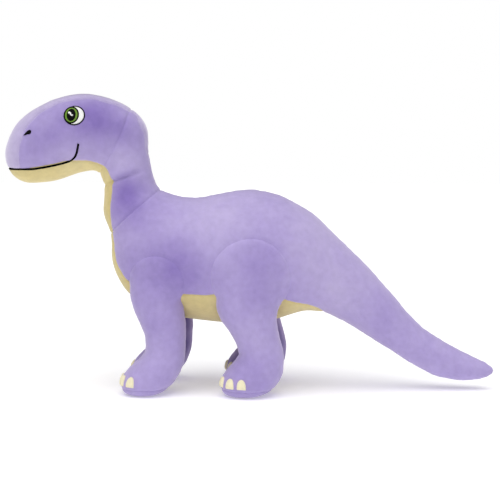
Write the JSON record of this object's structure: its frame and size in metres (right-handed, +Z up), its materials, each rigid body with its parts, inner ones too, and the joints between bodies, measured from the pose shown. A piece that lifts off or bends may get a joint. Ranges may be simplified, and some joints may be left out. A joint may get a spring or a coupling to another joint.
{
  "type": "stuffed dinosaur",
  "caption": "Soft long-necked stuffed dinosaur in purple short-pile cloth with a cream underside, standing on four stuffed legs, with embroidered eyes and smile.",
  "frame": {"origin": "on the floor, under the middle of the toy's box", "axes": "+X towards the tail tip with the head at -X, +Z up, and the toy's own left side towards -Y"},
  "size_m": [0.6, 0.1655, 0.363],
  "materials": {
    "purple_cloth": "short-pile velour, soft sheen, lavender purple",
    "cream_cloth": "short-pile velour, soft sheen, warm cream",
    "fibre_fill": "loose white fibre filling, hidden inside the cloth",
    "dark_thread": "black satin-stitch embroidery thread",
    "eye_thread": "satin-stitch embroidery in white, green and black"
  },
  "bodies": {
    "torso": {"torso_fill": "fibre_fill", "body_left_panel": "purple_cloth", "body_right_panel": "purple_cloth", "belly_panel": "cream_cloth"},
    "neck": {"neck_fill": "fibre_fill", "neck_left_panel": "purple_cloth", "neck_right_panel": "purple_cloth", "nape_gusset": "purple_cloth", "throat_panel": "cream_cloth"},
    "head": {"head_fill": "fibre_fill", "head_left_panel": "purple_cloth", "head_right_panel": "purple_cloth", "crown_gusset": "purple_cloth", "chin_panel": "cream_cloth", "eye_left": "eye_thread", "eye_right": "eye_thread", "nostril_left": "dark_thread", "nostril_right": "dark_thread", "mouth_stitch": "dark_thread"},
    "tail_base": {"tail_base_fill": "fibre_fill", "tail_base_left_panel": "purple_cloth", "tail_base_right_panel": "purple_cloth"},
    "tail_tip": {"tail_tip_fill": "fibre_fill", "tail_tip_left_panel": "purple_cloth", "tail_tip_right_panel": "purple_cloth"},
    "front_left_leg": {"front_left_leg_fill": "fibre_fill", "front_left_leg_outer_panel": "purple_cloth", "front_left_leg_inner_panel": "purple_cloth", "front_left_leg_sole": "purple_cloth", "front_left_leg_toe_1": "cream_cloth", "front_left_leg_toe_2": "cream_cloth", "front_left_leg_toe_3": "cream_cloth"},
    "front_right_leg": {"front_right_leg_fill": "fibre_fill", "front_right_leg_outer_panel": "purple_cloth", "front_right_leg_inner_panel": "purple_cloth", "front_right_leg_sole": "purple_cloth", "front_right_leg_toe_1": "cream_cloth", "front_right_leg_toe_2": "cream_cloth", "front_right_leg_toe_3": "cream_cloth"},
    "hind_left_leg": {"hind_left_leg_fill": "fibre_fill", "hind_left_leg_outer_panel": "purple_cloth", "hind_left_leg_inner_panel": "purple_cloth", "hind_left_leg_sole": "purple_cloth", "hind_left_leg_toe_1": "cream_cloth", "hind_left_leg_toe_2": "cream_cloth", "hind_left_leg_toe_3": "cream_cloth"},
    "hind_right_leg": {"hind_right_leg_fill": "fibre_fill", "hind_right_leg_outer_panel": "purple_cloth", "hind_right_leg_inner_panel": "purple_cloth", "hind_right_leg_sole": "purple_cloth", "hind_right_leg_toe_1": "cream_cloth", "hind_right_leg_toe_2": "cream_cloth", "hind_right_leg_toe_3": "cream_cloth"}
  },
  "joints": [
    {"name": "neck_bend", "type": "hinge", "parent": "torso", "child": "neck", "pos_m": [-0.14, 0, 0.219], "axis": [0, 1, 0], "range_deg": [-12, 12], "stiffness_Nm_per_rad": 4},
    {"name": "head_nod", "type": "hinge", "parent": "neck", "child": "head", "pos_m": [-0.1665, 0, 0.3065], "axis": [0, 1, 0], "range_deg": [-12, 12], "stiffness_Nm_per_rad": 3},
    {"name": "tail_swing", "type": "hinge", "parent": "torso", "child": "tail_base", "pos_m": [0.101, 0, 0.14], "axis": [0.1961, 0, 0.9806], "range_deg": [-15, 15], "stiffness_Nm_per_rad": 2},
    {"name": "tail_tip_bend", "type": "hinge", "parent": "tail_base", "child": "tail_tip", "pos_m": [0.1855, 0, 0.07], "axis": [0, 1, 0], "range_deg": [-18, 5], "stiffness_Nm_per_rad": 1},
    {"name": "front_left_leg_swing", "type": "hinge", "parent": "torso", "child": "front_left_leg", "pos_m": [-0.109, -0.037, 0.135], "axis": [0, 1, 0], "range_deg": [-10, 10], "stiffness_Nm_per_rad": 3},
    {"name": "front_right_leg_swing", "type": "hinge", "parent": "torso", "child": "front_right_leg", "pos_m": [-0.109, 0.037, 0.135], "axis": [0, 1, 0], "range_deg": [-10, 10], "stiffness_Nm_per_rad": 3},
    {"name": "hind_left_leg_swing", "type": "hinge", "parent": "torso", "child": "hind_left_leg", "pos_m": [0.004, -0.048, 0.143], "axis": [0, 1, 0], "range_deg": [-10, 10], "stiffness_Nm_per_rad": 3},
    {"name": "hind_right_leg_swing", "type": "hinge", "parent": "torso", "child": "hind_right_leg", "pos_m": [0.004, 0.048, 0.143], "axis": [0, 1, 0], "range_deg": [-10, 10], "stiffness_Nm_per_rad": 3}
  ]
}
